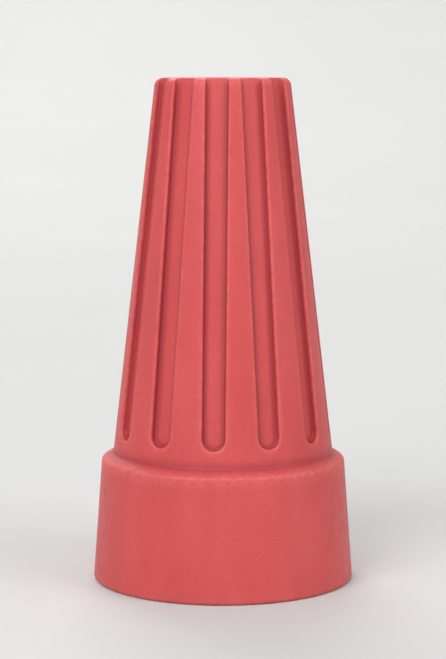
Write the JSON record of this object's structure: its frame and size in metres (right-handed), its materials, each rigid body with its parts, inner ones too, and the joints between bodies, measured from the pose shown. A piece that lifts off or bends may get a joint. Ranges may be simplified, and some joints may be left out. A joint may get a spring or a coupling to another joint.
{
  "type": "twist wire connector",
  "caption": "Twist-on electrical wire connector: tapered, fluted plastic shell with a smooth round skirt, and a tapered square-wire spring pressed inside to grip twisted wires.",
  "frame": {"origin": "centre of the mouth's rim, on the plane the rim stands on", "axes": "+Z along the axis from the open mouth to the closed tip; +X through the middle of one flute"},
  "size_m": [0.0146, 0.0146, 0.028],
  "materials": {
    "shell_plastic": "satin",
    "spring_wire": "satin"
  },
  "bodies": {
    "root": {"shell": "shell_plastic", "spring": "spring_wire"}
  },
  "joints": []
}
